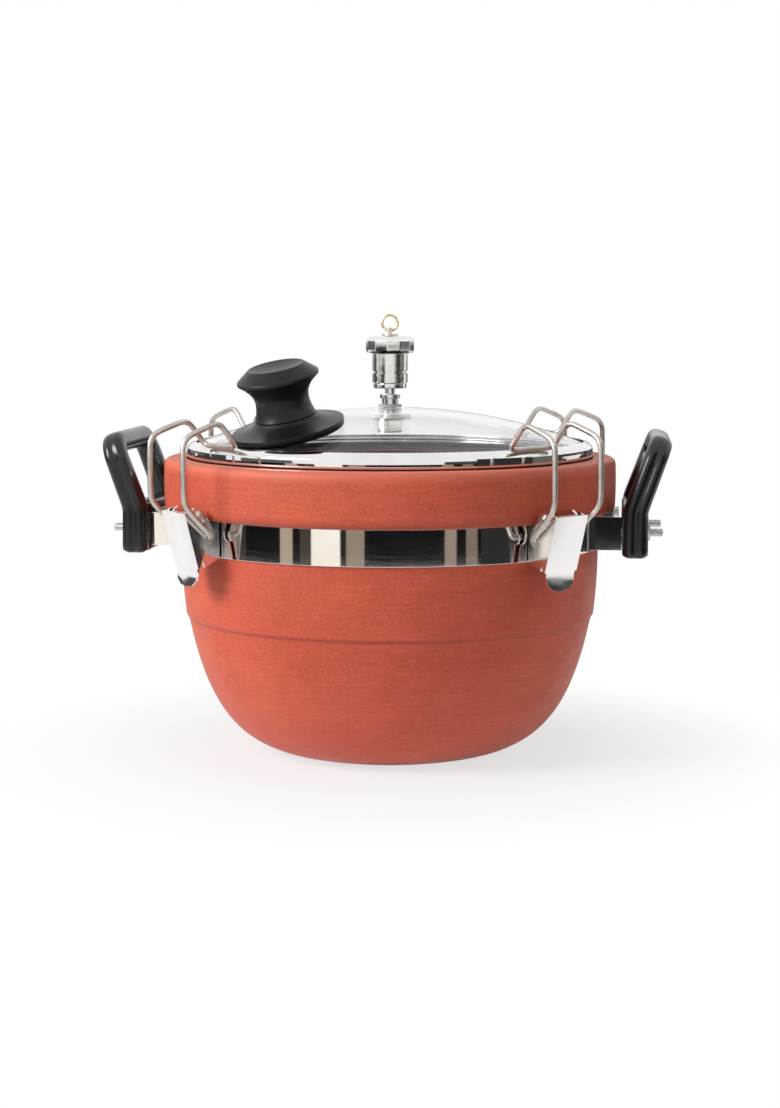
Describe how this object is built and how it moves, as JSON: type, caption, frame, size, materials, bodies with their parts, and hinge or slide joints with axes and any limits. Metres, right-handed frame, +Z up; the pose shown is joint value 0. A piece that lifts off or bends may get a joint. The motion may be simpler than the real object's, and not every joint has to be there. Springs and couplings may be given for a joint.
{
  "type": "clay pressure cooker",
  "caption": "Terracotta pot with a thick collar, domed glass lid, steel band with wire draw clamps, steam weight, lid knob and two side handles.",
  "frame": {"origin": "middle of the pot's foot, on the surface it stands on", "axes": "+Z up along the pot's axis, the two handles on the X axis, -Y towards the front"},
  "size_m": [0.3364, 0.268, 0.2592],
  "materials": {
    "clay": "unglazed terracotta",
    "polished_steel": "polished stainless steel",
    "satin_steel": "satin stainless steel",
    "clear_glass": "clear tempered glass",
    "black_plastic": "moulded black, semi-gloss",
    "black_rubber": "matt seal",
    "clear_seal": "translucent silicone",
    "brass": "bright"
  },
  "bodies": {
    "pot": {"clay_pot": "clay", "clamp_band": "polished_steel", "handle_bracket_left": "polished_steel", "handle_bracket_right": "polished_steel", "handle_left": "black_plastic", "handle_right": "black_plastic", "handle_bolt_left_near": "satin_steel", "handle_nut_left_near": "satin_steel", "handle_bolt_left_far": "satin_steel", "handle_nut_left_far": "satin_steel", "handle_bolt_right_near": "satin_steel", "handle_nut_right_near": "satin_steel", "handle_bolt_right_far": "satin_steel", "handle_nut_right_far": "satin_steel", "clamp_base_front_left": "polished_steel", "clamp_rivet_front_left": "satin_steel", "clamp_base_front_right": "polished_steel", "clamp_rivet_front_right": "satin_steel", "clamp_base_back_right": "polished_steel", "clamp_rivet_back_right": "satin_steel", "clamp_base_back_left": "polished_steel", "clamp_rivet_back_left": "satin_steel"},
    "lid": {"lid_glass": "clear_glass", "lid_rim": "polished_steel", "lid_gasket": "black_rubber", "vent_pipe": "polished_steel", "vent_upper_seal": "clear_seal", "vent_lower_seal": "clear_seal", "vent_nut": "polished_steel", "knob_skirt": "black_plastic", "knob_grip": "black_plastic", "knob_washer": "clear_seal", "knob_screw": "satin_steel"},
    "weight": {"weight_base_ring": "polished_steel", "weight_body": "polished_steel", "weight_cap": "polished_steel", "weight_spindle": "satin_steel"},
    "ring": {"lift_ring": "brass"},
    "lever_front_left": {"clamp_lever_front_left": "polished_steel"},
    "wire_front_left": {"clamp_wire_front_left": "satin_steel"},
    "lever_front_right": {"clamp_lever_front_right": "polished_steel"},
    "wire_front_right": {"clamp_wire_front_right": "satin_steel"},
    "lever_back_right": {"clamp_lever_back_right": "polished_steel"},
    "wire_back_right": {"clamp_wire_back_right": "satin_steel"},
    "lever_back_left": {"clamp_lever_back_left": "polished_steel"},
    "wire_back_left": {"clamp_wire_back_left": "satin_steel"}
  },
  "joints": [
    {"name": "lid_lift", "type": "slide", "parent": "pot", "child": "lid", "axis": [0, 0, 1], "range_m": [0, 0.05]},
    {"name": "weight_lift", "type": "slide", "parent": "lid", "child": "weight", "axis": [0, 0, 1], "range_m": [0, 0.02]},
    {"name": "ring_swing", "type": "hinge", "parent": "weight", "child": "ring", "pos_m": [0, 0, 0.24926], "axis": [1, 0, 0], "range_deg": [-60, 60]},
    {"name": "lever_front_left_turn", "type": "hinge", "parent": "pot", "child": "lever_front_left", "pos_m": [-0.10359, -0.09492, 0.1472], "axis": [-0.6756, 0.7373, 0], "range_deg": [0, 95]},
    {"name": "wire_front_left_swing", "type": "hinge", "parent": "lever_front_left", "child": "wire_front_left", "pos_m": [-0.09912, -0.09083, 0.13619], "axis": [0.6756, -0.7373, 0], "range_deg": [0, 215]},
    {"name": "lever_front_right_turn", "type": "hinge", "parent": "pot", "child": "lever_front_right", "pos_m": [0.10359, -0.09492, 0.1472], "axis": [-0.6756, -0.7373, 0], "range_deg": [0, 95]},
    {"name": "wire_front_right_swing", "type": "hinge", "parent": "lever_front_right", "child": "wire_front_right", "pos_m": [0.09912, -0.09083, 0.13619], "axis": [0.6756, 0.7373, 0], "range_deg": [0, 215]},
    {"name": "lever_back_right_turn", "type": "hinge", "parent": "pot", "child": "lever_back_right", "pos_m": [0.10359, 0.09492, 0.1472], "axis": [0.6756, -0.7373, 0], "range_deg": [0, 95]},
    {"name": "wire_back_right_swing", "type": "hinge", "parent": "lever_back_right", "child": "wire_back_right", "pos_m": [0.09912, 0.09083, 0.13619], "axis": [-0.6756, 0.7373, 0], "range_deg": [0, 215]},
    {"name": "lever_back_left_turn", "type": "hinge", "parent": "pot", "child": "lever_back_left", "pos_m": [-0.10359, 0.09492, 0.1472], "axis": [0.6756, 0.7373, 0], "range_deg": [0, 95]},
    {"name": "wire_back_left_swing", "type": "hinge", "parent": "lever_back_left", "child": "wire_back_left", "pos_m": [-0.09912, 0.09083, 0.13619], "axis": [-0.6756, -0.7373, 0], "range_deg": [0, 215]}
  ],
  "couplings": [
    {"joint": "lever_front_left_turn", "follows": "lid_lift", "rad_per_m": 33.161},
    {"joint": "wire_front_left_swing", "follows": "lid_lift", "rad_per_m": 75.049},
    {"joint": "lever_front_right_turn", "follows": "lid_lift", "rad_per_m": 33.161},
    {"joint": "wire_front_right_swing", "follows": "lid_lift", "rad_per_m": 75.049},
    {"joint": "lever_back_right_turn", "follows": "lid_lift", "rad_per_m": 33.161},
    {"joint": "wire_back_right_swing", "follows": "lid_lift", "rad_per_m": 75.049},
    {"joint": "lever_back_left_turn", "follows": "lid_lift", "rad_per_m": 33.161},
    {"joint": "wire_back_left_swing", "follows": "lid_lift", "rad_per_m": 75.049}
  ]
}
